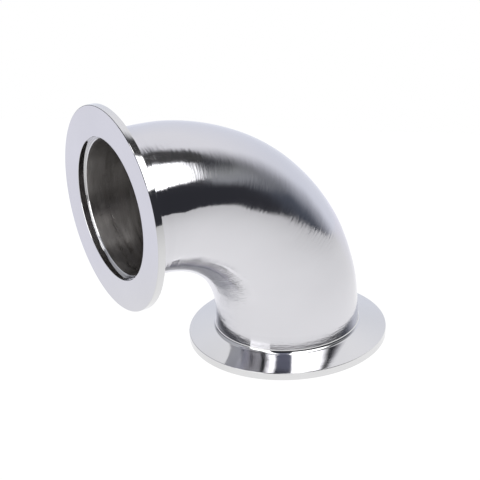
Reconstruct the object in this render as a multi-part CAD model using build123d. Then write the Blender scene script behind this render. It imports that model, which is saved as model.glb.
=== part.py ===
from build123d import *

import math
import os

# A 90 degree elbow for clamped vacuum pipework, welded up from a bent tube and two clamp flanges.
#
# Frame, in millimetres: the lower port's sealing face lies in the plane Z = 0 with its centre at the
# origin, and its axis is Z. The upper port's axis is horizontal and its sealing face looks along -X.
# Both port axes lie in the plane Y = 0, which is the elbow's plane of symmetry. Each sealing face is
# 70 mm from the other port's axis: the flange, the weld, the straight tube and the bend radius.

# Tube and bend
tube_outer_diameter = 54.0
tube_wall = 2.0
bend_radius = 57.5  # to the tube's centreline
bend_angle = 90.0
tube_tangent = 0.5  # straight tube left at each end of the bend

# Girth weld between flange neck and tube: full penetration, dressed flush outside
weld_face_width = 2.5  # across the joint, at the outside of the wall
weld_root_width = 1.5  # across the joint, at the bore
weld_root_height = 0.05  # how far the root stands into the bore, brushed almost flush

# Clamp flange
flange_diameter = 75.0
flange_rim_thickness = 2.8  # the straight edge between the sealing face and the clamping taper
clamp_taper_angle = 15.0  # between the back of the flange and the plane of its sealing face
flange_length = 9.5  # from the sealing face to the outer edge of the weld
neck_fillet = 1.6  # concave, where the clamping taper runs into the neck
rim_edge_break = 0.3
register_shoulder = 1.1  # radial step from the bore out to the register for the centring ring
register_depth = 2.5
register_corner_radius = 0.35
register_mouth_break = 0.15
bore_edge_break = 0.3

# Worked out from the sizes above
tube_outer_radius = tube_outer_diameter / 2
bore_radius = tube_outer_radius - tube_wall
flange_radius = flange_diameter / 2
register_radius = bore_radius + register_shoulder
weld_bevel_run = (weld_face_width - weld_root_width) / 2  # along the axis, on each side of the weld
taper_height = (flange_radius - tube_outer_radius) * math.tan(math.radians(clamp_taper_angle))
taper_end = flange_rim_thickness + taper_height  # where the taper would meet the neck with no fillet
tube_start = flange_length + weld_face_width  # from the sealing face to the outer edge of the tube's end
bend_start = tube_start + tube_tangent
bend_centre = Pos(-bend_radius, 0, bend_start)


def on_port_axis(*points):
    """Points given as (radius, distance from the sealing face), in the plane Y = 0."""
    return [Vector(radius, 0, distance) for radius, distance in points]


def turned(profile):
    """A full turn of a profile round the lower port's axis."""
    return revolve(profile, Axis.Z, 360)


def corner(profile, radius, distance):
    """The profile's corner at that radius and distance from the sealing face."""
    return profile.vertices().sort_by_distance(Vector(radius, 0, distance))[0]


def clamp_flange():
    """One flange with its sealing face at Z = 0 and its neck standing up from it."""
    profile = make_face(
        Polyline(
            *on_port_axis(
                (register_radius, 0),
                (flange_radius, 0),
                (flange_radius, flange_rim_thickness),
                (tube_outer_radius, taper_end),
                (tube_outer_radius, flange_length),
                (bore_radius, flange_length + weld_bevel_run),
                (bore_radius, register_depth),
                (register_radius, register_depth),
            ),
            close=True,
        )
    )
    profile = chamfer(corner(profile, register_radius, 0), register_mouth_break)
    profile = chamfer(corner(profile, flange_radius, 0), rim_edge_break)
    profile = chamfer(corner(profile, flange_radius, flange_rim_thickness), rim_edge_break)
    profile = chamfer(corner(profile, bore_radius, register_depth), bore_edge_break)
    profile = fillet(corner(profile, tube_outer_radius, taper_end), neck_fillet)
    profile = fillet(corner(profile, register_radius, register_depth), register_corner_radius)
    return turned(profile)


def girth_weld():
    """The ring of weld metal between a flange's neck and the tube, on the lower port's axis."""
    face_start, face_end = flange_length, tube_start
    root_start, root_end = flange_length + weld_bevel_run, tube_start - weld_bevel_run
    face_1, face_2, root_1, root_2, crown = on_port_axis(
        (tube_outer_radius, face_start),
        (tube_outer_radius, face_end),
        (bore_radius, root_end),
        (bore_radius, root_start),
        (bore_radius - weld_root_height, (root_start + root_end) / 2),
    )
    outline = [
        Line(face_1, face_2),
        Line(face_2, root_1),
        ThreePointArc(root_1, crown, root_2),
        Line(root_2, face_1),
    ]
    return turned(make_face(outline))


def tube_end():
    """The straight, bevelled end of the tube, on the lower port's axis."""
    profile = make_face(
        Polyline(
            *on_port_axis(
                (tube_outer_radius, tube_start),
                (tube_outer_radius, bend_start),
                (bore_radius, bend_start),
                (bore_radius, tube_start - weld_bevel_run),
            ),
            close=True,
        )
    )
    return turned(profile)


def at_upper_port(piece):
    """A piece made at the lower port, moved to the same place on the upper port."""
    end_for_end = Pos(0, 0, 2 * bend_start) * Rot(180, 0, 0)
    round_the_bend = bend_centre * Rot(0, -bend_angle, 0) * bend_centre.inverse()
    return round_the_bend * end_for_end * piece


def bent_tube():
    """The tube's bend with a straight, bevelled end at each side, in one piece."""
    wall_section = Plane.XY.offset(bend_start) * (Circle(tube_outer_radius) - Circle(bore_radius))
    bend_axis = Axis(bend_centre.position, (0, -1, 0))
    bend = revolve(wall_section, bend_axis, bend_angle)
    return bend + tube_end() + at_upper_port(tube_end())


def write(node, piece):
    piece.label = node
    export_step(piece, f"parts/{node}.step")


os.makedirs("parts", exist_ok=True)
write("bent_tube", bent_tube())
write("lower_flange", clamp_flange())
write("upper_flange", at_upper_port(clamp_flange()))
write("lower_girth_weld", girth_weld())
write("upper_girth_weld", at_upper_port(girth_weld()))
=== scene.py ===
# A polished vacuum elbow with two clamp flanges, standing on a white table between softboxes
import math

import bmesh
import bpy
from mathutils import Matrix, Quaternion, Vector, noise


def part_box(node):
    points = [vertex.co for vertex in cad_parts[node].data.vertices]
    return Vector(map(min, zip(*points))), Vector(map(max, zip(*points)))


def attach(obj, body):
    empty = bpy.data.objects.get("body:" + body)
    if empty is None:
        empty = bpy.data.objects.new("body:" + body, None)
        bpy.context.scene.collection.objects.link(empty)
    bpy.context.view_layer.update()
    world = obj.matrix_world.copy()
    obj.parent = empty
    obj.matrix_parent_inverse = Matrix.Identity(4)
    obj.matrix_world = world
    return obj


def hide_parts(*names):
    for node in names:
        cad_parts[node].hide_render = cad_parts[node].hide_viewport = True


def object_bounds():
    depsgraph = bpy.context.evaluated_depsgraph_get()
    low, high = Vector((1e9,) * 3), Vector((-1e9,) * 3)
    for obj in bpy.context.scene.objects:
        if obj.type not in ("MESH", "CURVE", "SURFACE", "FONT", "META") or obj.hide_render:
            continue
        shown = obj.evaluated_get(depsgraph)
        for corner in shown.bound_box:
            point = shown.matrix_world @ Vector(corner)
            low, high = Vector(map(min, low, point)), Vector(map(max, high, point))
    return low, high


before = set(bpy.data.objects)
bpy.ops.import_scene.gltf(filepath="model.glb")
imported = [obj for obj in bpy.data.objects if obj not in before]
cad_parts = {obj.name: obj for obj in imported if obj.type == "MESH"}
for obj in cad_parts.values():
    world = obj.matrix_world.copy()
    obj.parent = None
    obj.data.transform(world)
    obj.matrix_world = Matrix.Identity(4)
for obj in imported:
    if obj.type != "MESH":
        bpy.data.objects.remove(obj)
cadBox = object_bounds()
print("frame loaded")

# Where things are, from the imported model, in metres
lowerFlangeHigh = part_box("lower_flange")[1]
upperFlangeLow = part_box("upper_flange")[0]
lowerWeldLow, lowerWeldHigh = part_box("lower_girth_weld")
tubeLow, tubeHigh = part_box("bent_tube")

elbow = {
    "bendRadius": 0.0575,  # to the centreline
    "wall": 0.002,
    "segmentsAround": 208,
    "segmentsAlongBend": 120,
}
rimRadius = lowerFlangeHigh.x
tubeRadius = tubeHigh.y
boreRadius = tubeRadius - elbow["wall"]
weldStart, weldEnd = lowerWeldLow.z, lowerWeldHigh.z  # heights above the lower sealing face
portToCentre = -upperFlangeLow.x  # from a sealing face to the other port's axis
bendStart = portToCentre - elbow["bendRadius"]
bendCentre = Vector((-elbow["bendRadius"], 0, bendStart))
pathLength = 2 * bendStart + elbow["bendRadius"] * math.pi / 2
toUpperPort = Matrix.Translation((-portToCentre, 0, portToCentre)) @ Matrix.Rotation(math.pi / 2, 4, "Y")


def straightened(point):
    # Where a point would lie if the elbow's centreline were a straight line: along it, then across it
    x, y, z = point
    if z <= bendStart:
        return z, x, y
    if x <= bendCentre.x:
        return pathLength - (x + portToCentre), z - portToCentre, y
    outwards = math.hypot(x - bendCentre.x, z - bendCentre.z)
    turned = math.atan2(z - bendCentre.z, x - bendCentre.x)
    return bendStart + elbow["bendRadius"] * turned, outwards - elbow["bendRadius"], y


def centreline(along):
    if along <= bendStart:
        return Vector((0, 0, along))
    if along >= pathLength - bendStart:
        return Vector((pathLength - along - portToCentre, 0, portToCentre))
    angle = (along - bendStart) / elbow["bendRadius"]
    return bendCentre + elbow["bendRadius"] * Vector((math.cos(angle), 0, math.sin(angle)))


def direction(around, above):
    # Degrees round the elbow from its front, and above the table
    turn, rise = math.radians(around), math.radians(above)
    return Vector((math.sin(turn) * math.cos(rise), -math.cos(turn) * math.cos(rise), math.sin(rise)))


def newNode(tree, kind, values=None, **settings):
    node = tree.nodes.new("ShaderNode" + kind)
    for name, value in settings.items():
        setattr(node, name, value)
    for socket, value in (values or {}).items():
        if isinstance(value, bpy.types.NodeSocket):
            tree.links.new(value, node.inputs[socket])
        else:
            node.inputs[socket].default_value = value
    return node


def newMaterial(name):
    material = bpy.data.materials.new(name)
    material.use_nodes = True
    material.node_tree.nodes.clear()
    return material, material.node_tree


# Steel finishes: fine lines run round the tube's axis, left by the polishing belt or the lathe tool.
# Roughness runs from the smooth to the rough of them; clouding is how much the colour comes and goes
finishes = {
    "polishedTube": {
        "colour": (0.66, 0.655, 0.685),
        "roughness": (0.075, 0.105),
        "anisotropy": 0.9,
        "linesPerMetre": 1500,
        "lineLength": 5.0,  # lower is longer
        "lineDepth": 0.00004,
        "clouding": 0.012,
        "cloudStretch": 1.0,
    },
    "weldMetal": {
        "colour": (0.652, 0.647, 0.677),
        "roughness": (0.075, 0.115),
        "anisotropy": 0.9,
        "linesPerMetre": 1500,
        "lineLength": 5.0,
        "lineDepth": 0.00004,
        "clouding": 0.015,
        "cloudStretch": 1.0,
    },
    "turnedFlange": {
        "colour": (0.68, 0.678, 0.685),
        "roughness": (0.07, 0.1),
        "anisotropy": 0.5,
        "linesPerMetre": 1500,
        "lineLength": 1.5,
        "lineDepth": 0.00001,
        "clouding": 0.02,
        "cloudStretch": 1.0,
    },
    "satinBore": {
        "colour": (0.47, 0.45, 0.435),
        "roughness": (0.27, 0.38),
        "anisotropy": 0.9,
        "linesPerMetre": 700,
        "lineLength": 2.5,
        "lineDepth": 0.00007,
        "clouding": 0.16,
        "cloudStretch": 5.0,
    },
}
grain = {
    "lineDetail": 2.0,
    "lineRoughness": 0.6,
    "cloudsPerMetre": 45.0,
    "cloudDetail": 3.0,
    "noiseLow": 0.3,
    "noiseHigh": 0.7,
}


def steelFinish(name):
    finish = finishes[name]
    material, tree = newMaterial(name)
    place = newNode(tree, "Attribute", attribute_name="straightened")
    parts = newNode(tree, "SeparateXYZ", {0: place.outputs["Vector"]})
    across = newNode(tree, "CombineXYZ", {"Y": parts.outputs["Y"], "Z": parts.outputs["Z"]})
    radius = newNode(tree, "VectorMath", {0: across.outputs[0]}, operation="LENGTH")
    around = newNode(tree, "VectorMath", {0: across.outputs[0]}, operation="NORMALIZE")
    density = finish["linesPerMetre"]
    slowAround = newNode(
        tree, "VectorMath", {0: around.outputs[0], "Scale": finish["lineLength"]}, operation="SCALE"
    )
    lineAlong = newNode(tree, "Math", {0: parts.outputs["X"], 1: density}, operation="MULTIPLY")
    lineAlongOnly = newNode(tree, "CombineXYZ", {"X": lineAlong.outputs[0]})
    lineSpace = newNode(
        tree, "VectorMath", {0: lineAlongOnly.outputs[0], 1: slowAround.outputs[0]}, operation="ADD"
    )
    lineOut = newNode(tree, "Math", {0: radius.outputs["Value"], 1: density}, operation="MULTIPLY")
    lines = newNode(
        tree,
        "TexNoise",
        {
            "Vector": lineSpace.outputs[0],
            "W": lineOut.outputs[0],
            "Scale": 1.0,
            "Detail": grain["lineDetail"],
            "Roughness": grain["lineRoughness"],
        },
        noise_dimensions="4D",
    )
    bump = newNode(
        tree,
        "Bump",
        {"Strength": 1.0, "Distance": finish["lineDepth"], "Height": lines.outputs["Fac"]},
    )
    stretch = newNode(
        tree,
        "VectorMath",
        {0: place.outputs["Vector"], 1: (finish["cloudStretch"], 1, 1)},
        operation="MULTIPLY",
    )
    clouds = newNode(
        tree,
        "TexNoise",
        {
            "Vector": stretch.outputs[0],
            "Scale": grain["cloudsPerMetre"],
            "Detail": grain["cloudDetail"],
        },
    )
    shade = newNode(
        tree,
        "MapRange",
        {
            "Value": clouds.outputs["Fac"],
            "From Min": grain["noiseLow"],
            "From Max": grain["noiseHigh"],
            "To Min": 1 - finish["clouding"],
            "To Max": 1 + finish["clouding"],
        },
    )
    colour = newNode(
        tree, "VectorMath", {0: finish["colour"], "Scale": shade.outputs["Result"]}, operation="SCALE"
    )
    smooth, rough = finish["roughness"]
    roughness = newNode(
        tree,
        "MapRange",
        {
            "Value": lines.outputs["Fac"],
            "From Min": grain["noiseLow"],
            "From Max": grain["noiseHigh"],
            "To Min": smooth,
            "To Max": rough,
        },
    )
    tangent = newNode(tree, "Tangent", direction_type="UV_MAP", uv_map="wrap")
    shader = newNode(
        tree,
        "BsdfPrincipled",
        {
            "Base Color": colour.outputs[0],
            "Metallic": 1.0,
            "Roughness": roughness.outputs["Result"],
            "Anisotropic": finish["anisotropy"],
            "Normal": bump.outputs["Normal"],
            "Tangent": tangent.outputs["Tangent"],
        },
    )
    newNode(tree, "OutputMaterial", {"Surface": shader.outputs["BSDF"]})
    return material


steel = {name: steelFinish(name) for name in finishes}
print("steel finishes made")

# Clamp flanges
flange = {
    "registerRadius": 0.0261,  # the recess that a centring ring drops into
    "registerDepth": 0.0025,
    "rimThickness": 0.0028,
    "taper": math.radians(15),
    "neckFillet": 0.0016,
    "filletSegments": 14,
    "rimEdge": 0.0003,  # where the rim meets the taper
    "faceEdge": 0.0002,  # where the rim meets the sealing face
    "rimSegments": 2,
    "registerCorner": 0.0002,
    "cornerSegments": 5,
    "mouthEdge": 0.0001,
    "boreEdge": 0.0003,
    "segmentsAround": 256,
}
taperEnd = flange["rimThickness"] + (rimRadius - tubeRadius) * math.tan(flange["taper"])
filletTangent = flange["neckFillet"] / math.tan((math.pi / 2 + flange["taper"]) / 2)

# How every piece is closed
closing = {
    "mergeDistance": 1e-7,
    "ringTolerance": 1e-6,
    "boreMargin": 0.0001,
    "wrapSlope": 1.7,  # steeper than a bevel, so that no face is squeezed flat in the wrap
    "wrapScale": 10,
    "sharpAngle": math.radians(20),
    "normalWeight": 90,
}


def finishAt(along, radius):
    # The belt took the necks, the welds and the tube together; the flanges were turned and buffed
    fromPort = min(along, pathLength - along)
    if radius < boreRadius + closing["boreMargin"]:
        return "satinBore"
    if fromPort < taperEnd + filletTangent:
        return "turnedFlange"
    if weldStart < fromPort < weldEnd:
        return "weldMetal"
    return "polishedTube"


def finishPiece(bm, name, node):
    # Closes a piece: normals, finishes, its place along the elbow; hangs it on the root body and hides
    # the model part that it stands for
    bmesh.ops.remove_doubles(bm, verts=bm.verts, dist=closing["mergeDistance"])
    bmesh.ops.recalc_face_normals(bm, faces=bm.faces)
    wrap = bm.loops.layers.uv.new("wrap")
    slope = closing["wrapSlope"] if node.startswith("upper") else -closing["wrapSlope"]
    scale = closing["wrapScale"]
    used = []
    for face in bm.faces:
        face.smooth = True
        along, out, side = straightened(face.calc_center_median())
        middle = math.atan2(side, -out)
        for loop in face.loops:
            loopAlong, loopOut, loopSide = straightened(loop.vert.co)
            around = math.atan2(loopSide, -loopOut)
            around += 2 * math.pi * round((middle - around) / (2 * math.pi))
            radius = math.hypot(loopOut, loopSide)
            loop[wrap].uv = (radius + slope * loopAlong) * scale, around * tubeRadius * scale
        finish = finishAt(along, math.hypot(out, side))
        if finish not in used:
            used.append(finish)
        face.material_index = used.index(finish)
    mesh = bpy.data.meshes.new(name)
    bm.to_mesh(mesh)
    bm.free()
    mesh.set_sharp_from_angle(angle=closing["sharpAngle"])
    places = mesh.attributes.new("straightened", "FLOAT_VECTOR", "POINT")
    for vertex in mesh.vertices:
        places.data[vertex.index].vector = straightened(vertex.co)
    for finish in used:
        mesh.materials.append(steel[finish])
    piece = bpy.data.objects.new(name, mesh)
    bpy.context.scene.collection.objects.link(piece)
    weights = piece.modifiers.new("WeightedNormal", "WEIGHTED_NORMAL")
    weights.keep_sharp = True
    weights.weight = closing["normalWeight"]
    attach(piece, "root")
    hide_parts(node)
    print(name, len(mesh.polygons), "faces")


def bevelRing(bm, radius, height, offset, segments):
    # Breaks or rounds the ring of edges at that radius and height
    def onRing(vertex):
        miss = math.hypot(math.hypot(*vertex.co.xy) - radius, vertex.co.z - height)
        return miss < closing["ringTolerance"]

    ring = [edge for edge in bm.edges if all(onRing(vertex) for vertex in edge.verts)]
    bmesh.ops.bevel(
        bm,
        geom=ring,
        offset=offset,
        offset_type="OFFSET",
        affect="EDGES",
        segments=segments,
        profile=0.5,
        material=-1,
    )


def spinProfile(points, segments):
    # A closed outline of (radius, height) points, turned once round the Z axis
    bm = bmesh.new()
    corners = [bm.verts.new((radius, 0, height)) for radius, height in points]
    edges = [bm.edges.new((a, b)) for a, b in zip(corners, corners[1:] + corners[:1])]
    bmesh.ops.spin(
        bm,
        geom=corners + edges,
        cent=(0, 0, 0),
        axis=(0, 0, 1),
        angle=2 * math.pi,
        steps=segments,
        use_merge=True,
    )
    return bm


def flangeBody():
    bm = spinProfile(
        [
            (flange["registerRadius"], 0),
            (rimRadius, 0),
            (rimRadius, flange["rimThickness"]),
            (tubeRadius, taperEnd),
            (tubeRadius, weldStart),
            (boreRadius, lowerFlangeHigh.z),
            (boreRadius, flange["registerDepth"]),
            (flange["registerRadius"], flange["registerDepth"]),
        ],
        flange["segmentsAround"],
    )
    register, depth = flange["registerRadius"], flange["registerDepth"]
    bevelRing(bm, rimRadius, 0, flange["faceEdge"], flange["rimSegments"])
    bevelRing(bm, rimRadius, flange["rimThickness"], flange["rimEdge"], flange["rimSegments"])
    bevelRing(bm, tubeRadius, taperEnd, filletTangent, flange["filletSegments"])
    bevelRing(bm, register, 0, flange["mouthEdge"], 1)
    bevelRing(bm, register, depth, flange["registerCorner"], flange["cornerSegments"])
    bevelRing(bm, boreRadius, depth, flange["boreEdge"], 1)
    return bm


def makeFlange(name, node, place):
    bm = flangeBody()
    bmesh.ops.transform(bm, matrix=place, verts=bm.verts)
    finishPiece(bm, name, node)


makeFlange("lowerFlange", "lower_flange", Matrix.Identity(4))
makeFlange("upperFlange", "upper_flange", toUpperPort)
print("flanges made")

# Girth welds
weld = {"rootWidth": 0.0015, "rootHeight": 0.00001, "rootSteps": 6, "segmentsAround": 256}


def weldBody():
    faceMiddle = (weldStart + weldEnd) / 2
    root = []
    for step in range(weld["rootSteps"] + 1):
        share = 1 - 2 * step / weld["rootSteps"]
        crown = weld["rootHeight"] * (1 - share * share)
        root.append((boreRadius - crown, faceMiddle + share * weld["rootWidth"] / 2))
    return spinProfile([(tubeRadius, weldStart), (tubeRadius, weldEnd)] + root, weld["segmentsAround"])


def makeWeld(name, node, place):
    bm = weldBody()
    bmesh.ops.transform(bm, matrix=place, verts=bm.verts)
    finishPiece(bm, name, node)


makeWeld("lowerGirthWeld", "lower_girth_weld", Matrix.Identity(4))
makeWeld("upperGirthWeld", "upper_girth_weld", toUpperPort)
print("welds made")

# Bent tube: the mandrel leaves the outside very slightly wavy
ripple = {
    "height": 0.00022,
    "perMetre": 60,
    "fineShare": 0.17,
    "finePerMetre": 180,
    "clearOfWelds": 0.004,
}


def onlyRing(parts):
    return [part for part in parts if not isinstance(part, bmesh.types.BMFace)]


def shiftRing(bm, ring, shift):
    verts = [part for part in ring if isinstance(part, bmesh.types.BMVert)]
    bmesh.ops.translate(bm, verts=verts, vec=shift)


def tubeSurface(bm, radius, startHeight):
    # One wall of the tube from its lower end to its upper end; returns the edges of its two end rings
    place = Matrix.Translation((0, 0, startHeight))
    start = bmesh.ops.create_circle(bm, segments=elbow["segmentsAround"], radius=radius, matrix=place)
    firstRing = list({edge for vertex in start["verts"] for edge in vertex.link_edges})
    straight = bendStart - startHeight
    ring = onlyRing(bmesh.ops.extrude_edge_only(bm, edges=firstRing)["geom"])
    shiftRing(bm, ring, (0, 0, straight))
    bent = bmesh.ops.spin(
        bm,
        geom=ring,
        cent=bendCentre,
        axis=(0, -1, 0),
        angle=math.pi / 2,
        steps=elbow["segmentsAlongBend"],
    )["geom_last"]
    bentEdges = [part for part in bent if isinstance(part, bmesh.types.BMEdge)]
    ring = onlyRing(bmesh.ops.extrude_edge_only(bm, edges=bentEdges)["geom"])
    shiftRing(bm, ring, (-straight, 0, 0))
    return firstRing, [part for part in ring if isinstance(part, bmesh.types.BMEdge)]


def makeTube():
    bm = bmesh.new()
    outerStart, outerEnd = tubeSurface(bm, tubeRadius, weldEnd)
    for vertex in bm.verts:
        along = straightened(vertex.co)[0]
        fromWeld = min(along, pathLength - along) - weldEnd
        fade = min(1, max(0, fromWeld / ripple["clearOfWelds"]))
        wave = noise.noise(vertex.co * ripple["perMetre"])
        wave += noise.noise(vertex.co * ripple["finePerMetre"]) * ripple["fineShare"]
        outward = (vertex.co - centreline(along)).normalized()
        vertex.co += outward * wave * ripple["height"] * fade
    innerStart, innerEnd = tubeSurface(bm, boreRadius, tubeLow.z)
    bmesh.ops.bridge_loops(bm, edges=outerStart + innerStart)
    bmesh.ops.bridge_loops(bm, edges=outerEnd + innerEnd)
    finishPiece(bm, "bentTube", "bent_tube")


makeTube()
print("tube made")

# The studio. Directions are degrees round the elbow and above the table; 0 round looks at it along +Y
studio = {
    "centre": (-0.016, 0, 0.05),
    "domeRadius": 1.6,  # how far off the panels stand; each is a little nearer than the one before
    "panelStep": 0.02,
    "panelColumns": 36,
    "panelRows": 24,
    "colourRise": (0.3, 0.7),  # where a panel's lower colour turns into its upper one
    "roomColour": (0.035, 0.036, 0.043, 1),
    "tableTurn": 50,  # degrees; the table's edges stand askew, these distances from the elbow
    "tableFront": 0.88,
    "tableRight": 0.2,
    "tableBackEdge": 0.8,
    "tableLeft": 0.8,
    "tableGlow": 0.97,
    "tableColour": (0.07, 0.07, 0.07, 1),
    "tableFarGlow": 0.64,  # what the steel mirrors: a painted pool of light, brightest beside the elbow, fading with distance
    "tablePaintedPool": 0.45,
    "tablePaintedPoolFade": 0.2,
    # the back of the mirrored table is painted a bluer light, without the painted pool
    "tableBack": (0.84, 0.84, 0.94, 1),
    "tableBackBlend": 0.1,
    "tableShadowInset": 0.001,
    "tableDrop": 0.0001,
}
# Each panel's corners go from its lower left round to its upper left, and the later ones stand in
# front. Soft is the share of its width or height that fades at the left, right, bottom and top
panels = {
    "frontScreen": {
        "corners": ((-60, 46), (-20, 46), (-20, 88), (-60, 88)),
        "soft": (0.02, 0.02, 0.25, 0.05),
        "glow": 0.25,
        "lower": (0.88, 0.92, 1.2, 1),
        "upper": (0.88, 0.92, 1.2, 1),
    },
    "leftScreen": {
        "corners": ((-172, 2), (-64, 2), (-64, 66), (-172, 66)),
        "soft": (0.12, 0.04, 0.2, 0.1),
        "glow": 0.54,
        "lower": (0.96, 0.98, 1.05, 1),
        "upper": (0.96, 0.98, 1.05, 1),
    },
    "blueScreen": {
        "corners": ((46, -8), (90, -8), (90, 24), (52, 24)),
        "soft": (0.5, 0.2, 0.25, 0.4),
        "glow": 0.1,
        "lower": (0.85, 0.95, 1.2, 1),
        "upper": (0.85, 0.95, 1.2, 1),
    },
    "greyScreen": {
        "corners": ((36, 17), (90, 6), (90, 46), (38, 46)),
        "soft": (0.15, 0.5, 0.38, 0.45),
        "glow": 0.32,
        "lower": (0.97, 1, 1.06, 1),
        "upper": (0.97, 1, 1, 1),
    },
    "backdrop": {
        "corners": ((66, -20), (205, -20), (205, 72), (72, 72)),
        "soft": (0.27, 0.25, 0.02, 0.12),
        "glow": 1.0,
        "lower": (0.86, 0.885, 0.97, 1),
        "upper": (1.0, 1.0, 1.03, 1),
    },
    "keySoftbox": {
        "corners": ((-24, 31.5), (44.5, 31.5), (108, 86), (-24, 86)),
        "soft": (0.05, 0.33, 0.04, 0.02),
        "glow": 3.0,
        "lower": (1, 1, 1, 1),
        "upper": (1, 1, 1, 1),
    },
    "sideSoftbox": {
        "corners": ((-90, -4), (-56, -4), (-56, 75), (-90, 75)),
        "soft": (0.05, 0.05, 0.02, 0.05),
        "glow": 2.6,
        "lower": (1, 1, 1, 1),
        "upper": (1, 1, 1, 1),
    },
    "blackFlag": {
        "distance": 0.5,
        "corners": ((63, 48), (79, 48), (131, 80), (29, 78)),
        "soft": (0.08, 0.32, 0.2, 0.05),
        "glow": 0.055,
        "lower": (1, 1, 1, 1),
        "upper": (1, 1, 1, 1),
    },
}


def panelMaterial(name, panel):
    material, tree = newMaterial(name)
    place = newNode(tree, "UVMap", uv_map="panel")
    parts = newNode(tree, "SeparateXYZ", {0: place.outputs["UV"]})
    shares = []
    for axis, near, far in (("X", 0, 1), ("Y", 2, 3)):
        for flip, soft in ((False, panel["soft"][near]), (True, panel["soft"][far])):
            share = parts.outputs[axis]
            if flip:
                share = newNode(tree, "Math", {0: 1.0, 1: share}, operation="SUBTRACT").outputs[0]
            ramp = newNode(
                tree,
                "MapRange",
                {"Value": share, "From Min": 0.0, "From Max": soft},
                interpolation_type="SMOOTHSTEP",
            )
            shares.append(ramp.outputs["Result"])
    strength = shares[0]
    for share in shares[1:]:
        strength = newNode(tree, "Math", {0: strength, 1: share}, operation="MULTIPLY").outputs[0]
    riseStart, riseEnd = studio["colourRise"]
    rise = newNode(
        tree, "MapRange", {"Value": parts.outputs["Y"], "From Min": riseStart, "From Max": riseEnd}
    )
    colour = newNode(
        tree, "Mix", {0: rise.outputs["Result"], 6: panel["lower"], 7: panel["upper"]}, data_type="RGBA"
    )
    glow = newNode(tree, "Emission", {"Color": colour.outputs[2], "Strength": panel["glow"]})
    clear = newNode(tree, "BsdfTransparent")
    mix = newNode(tree, "MixShader", {0: strength, 1: clear.outputs[0], 2: glow.outputs[0]})
    newNode(tree, "OutputMaterial", {"Surface": mix.outputs[0]})
    return material


def addPanel(name, panel, distance):
    # A sheet bent over the elbow, part of a dome, between its four corners
    lowerLeft, lowerRight, upperRight, upperLeft = (Vector(corner) for corner in panel["corners"])
    bm = bmesh.new()
    uv = bm.loops.layers.uv.new("panel")
    columns, rows = studio["panelColumns"], studio["panelRows"]
    bmesh.ops.create_grid(bm, x_segments=columns, y_segments=rows, size=0.5)
    for face in bm.faces:
        for loop in face.loops:
            loop[uv].uv = loop.vert.co.x + 0.5, loop.vert.co.y + 0.5
    for vertex in bm.verts:
        share, rise = vertex.co.x + 0.5, vertex.co.y + 0.5
        angles = lowerLeft.lerp(lowerRight, share).lerp(upperLeft.lerp(upperRight, share), rise)
        vertex.co = Vector(studio["centre"]) + distance * direction(*angles)
    mesh = bpy.data.meshes.new(name)
    bm.to_mesh(mesh)
    bm.free()
    mesh.materials.append(panelMaterial(name, panel))
    card = bpy.data.objects.new(name, mesh)
    bpy.context.scene.collection.objects.link(card)
    card.visible_camera = False
    card.visible_shadow = False


def tableMaterial():
    # White to the camera. The steel mirrors a table with a painted pool of light that fades away,
    # painted bluer at the back without the pool, and a painted shadow: a dark disc under the lower
    # flange, where no light falls
    material, tree = newMaterial("whiteTable")
    place = newNode(tree, "TexCoord")
    distance = newNode(tree, "VectorMath", {0: place.outputs["Object"]}, operation="LENGTH")
    outwards = distance.outputs["Value"]
    # a painted pool of light on the mirrored table: brightest beside the elbow, fading with distance
    faded = newNode(tree, "Math", {0: outwards, 1: -1 / studio["tablePaintedPoolFade"]}, operation="MULTIPLY")
    near = newNode(tree, "Math", {0: faded.outputs[0]}, operation="EXPONENT")
    level = newNode(
        tree,
        "Math",
        {0: near.outputs[0], 1: studio["tablePaintedPool"], 2: studio["tableFarGlow"]},
        operation="MULTIPLY_ADD",
    )
    shadowRadius = rimRadius - studio["tableShadowInset"]
    lit = newNode(tree, "Math", {0: outwards, 1: shadowRadius}, operation="GREATER_THAN")
    strength = newNode(tree, "Math", {0: level.outputs[0], 1: lit.outputs[0]}, operation="MULTIPLY")
    # behind the elbow the painted pool gives way to the painted bluer back light
    sides = newNode(tree, "SeparateXYZ", {0: place.outputs["Object"]})
    behind = newNode(
        tree, "MapRange", {"Value": sides.outputs["Y"], "From Max": studio["tableBackBlend"]}
    )
    front = newNode(tree, "Emission", {"Strength": strength.outputs[0]})
    back = newNode(tree, "Emission", {"Color": studio["tableBack"], "Strength": lit.outputs[0]})
    mirrored = newNode(
        tree, "MixShader", {0: behind.outputs["Result"], 1: front.outputs[0], 2: back.outputs[0]}
    )
    seen = newNode(tree, "Emission", {"Strength": studio["tableGlow"]})
    ray = newNode(tree, "LightPath")
    glow = newNode(
        tree, "MixShader", {0: ray.outputs["Is Camera Ray"], 1: mirrored.outputs[0], 2: seen.outputs[0]}
    )
    matt = newNode(tree, "BsdfDiffuse", {"Color": studio["tableColour"]})
    both = newNode(tree, "AddShader", {0: matt.outputs[0], 1: glow.outputs[0]})
    newNode(tree, "OutputMaterial", {"Surface": both.outputs[0]})
    return material


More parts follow.
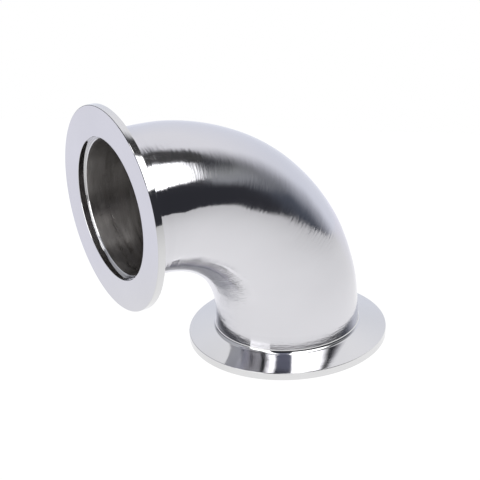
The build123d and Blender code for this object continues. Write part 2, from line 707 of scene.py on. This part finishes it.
def addTable():
    bm = bmesh.new()
    bmesh.ops.create_grid(bm, x_segments=1, y_segments=1, size=1)
    for vertex in bm.verts:
        vertex.co.x *= studio["tableRight"] if vertex.co.x > 0 else studio["tableLeft"]
        vertex.co.y *= studio["tableFront"] if vertex.co.y < 0 else studio["tableBackEdge"]
    turn = Matrix.Rotation(math.radians(studio["tableTurn"]), 4, "Z")
    bmesh.ops.rotate(bm, verts=bm.verts, cent=(0, 0, 0), matrix=turn)
    mesh = bpy.data.meshes.new("table")
    bm.to_mesh(mesh)
    bm.free()
    mesh.materials.append(tableMaterial())
    table = bpy.data.objects.new("table", mesh)
    table.location.z = cadBox[0].z - studio["tableDrop"]
    bpy.context.scene.collection.objects.link(table)


def makeWorld():
    # White behind the table for the camera; a dim room in the steel's reflections
    world = bpy.data.worlds.new("studioRoom")
    world.use_nodes = True
    world.node_tree.nodes.clear()
    tree = world.node_tree
    ray = newNode(tree, "LightPath")
    room = newNode(tree, "Background", {"Color": studio["roomColour"]})
    white = newNode(tree, "Background", {"Color": (1, 1, 1, 1)})
    mix = newNode(
        tree, "MixShader", {0: ray.outputs["Is Camera Ray"], 1: room.outputs[0], 2: white.outputs[0]}
    )
    newNode(tree, "OutputWorld", {"Surface": mix.outputs[0]})
    bpy.context.scene.world = world


def makeStudio():
    for index, (name, panel) in enumerate(panels.items()):
        onDome = studio["domeRadius"] - studio["panelStep"] * index
        addPanel(name, panel, panel.get("distance", onDome))
    addTable()
    makeWorld()
    bpy.context.scene.view_settings.view_transform = "Standard"


makeStudio()
print("studio made")

# Camera
viewpoint = {
    "round": -27.93,
    "above": 25.62,
    "roll": -2.68,
    "distance": 0.7242,
    "target": (-0.01875, 0, 0.04401),
    "lens": 147.16,
    "clip": (0.01, 20),
}


def addCamera():
    camera = bpy.data.objects.new("camera", bpy.data.cameras.new("camera"))
    back = direction(viewpoint["round"], viewpoint["above"])
    camera.location = Vector(viewpoint["target"]) + back * viewpoint["distance"]
    camera.rotation_mode = "QUATERNION"
    lean = Quaternion((0, 0, 1), math.radians(viewpoint["roll"]))
    camera.rotation_quaternion = (-back).to_track_quat("-Z", "Y") @ lean
    camera.data.lens = viewpoint["lens"]
    camera.data.clip_start, camera.data.clip_end = viewpoint["clip"]
    bpy.context.scene.collection.objects.link(camera)
    bpy.context.scene.camera = camera


addCamera()
print("camera set")
